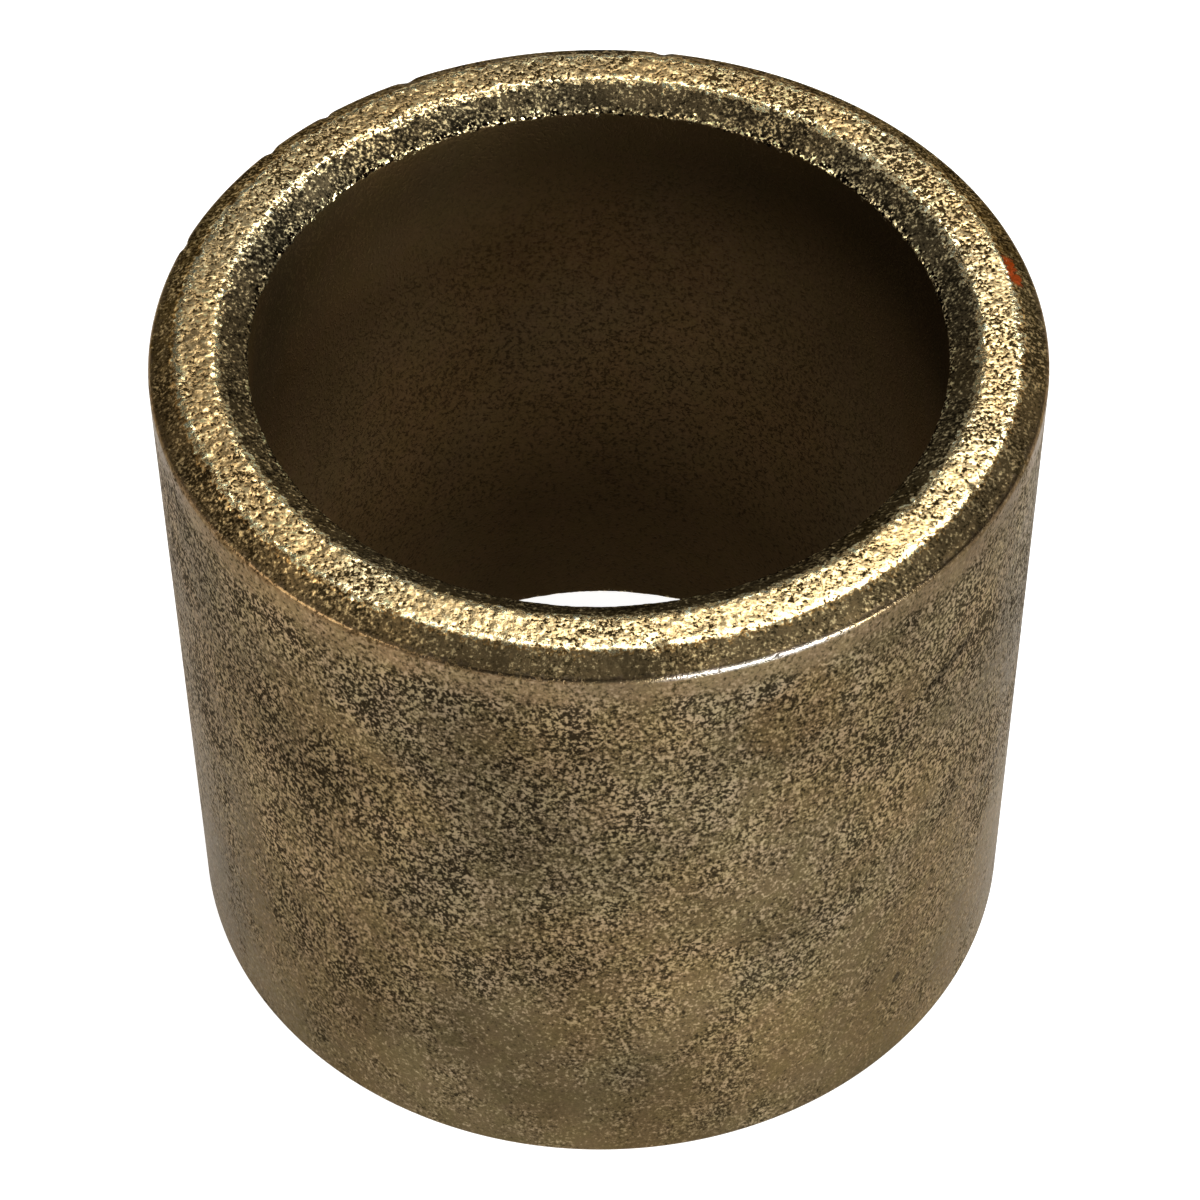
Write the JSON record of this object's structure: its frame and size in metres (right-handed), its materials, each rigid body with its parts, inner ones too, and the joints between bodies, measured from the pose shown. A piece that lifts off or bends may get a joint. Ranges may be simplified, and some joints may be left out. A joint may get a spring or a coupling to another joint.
{
  "type": "sleeve bushing",
  "caption": "Plain sintered-bronze sleeve bushing: a one-piece cylindrical ring, chamfered inside and out at both ends, that presses into a housing and carries a shaft.",
  "frame": {"origin": "on the bore axis, at the centre of the lower end face", "axes": "+Z along the bore axis towards the upper end face; the ring is round, so +X and +Y may point anywhere across it"},
  "size_m": [0.0286, 0.0286, 0.0254],
  "materials": {
    "sintered_bronze": "satin porous powder metal: brown oily skin on the walls, bright gold grains on the end faces"
  },
  "bodies": {
    "root": {"sleeve": "sintered_bronze"}
  },
  "joints": []
}
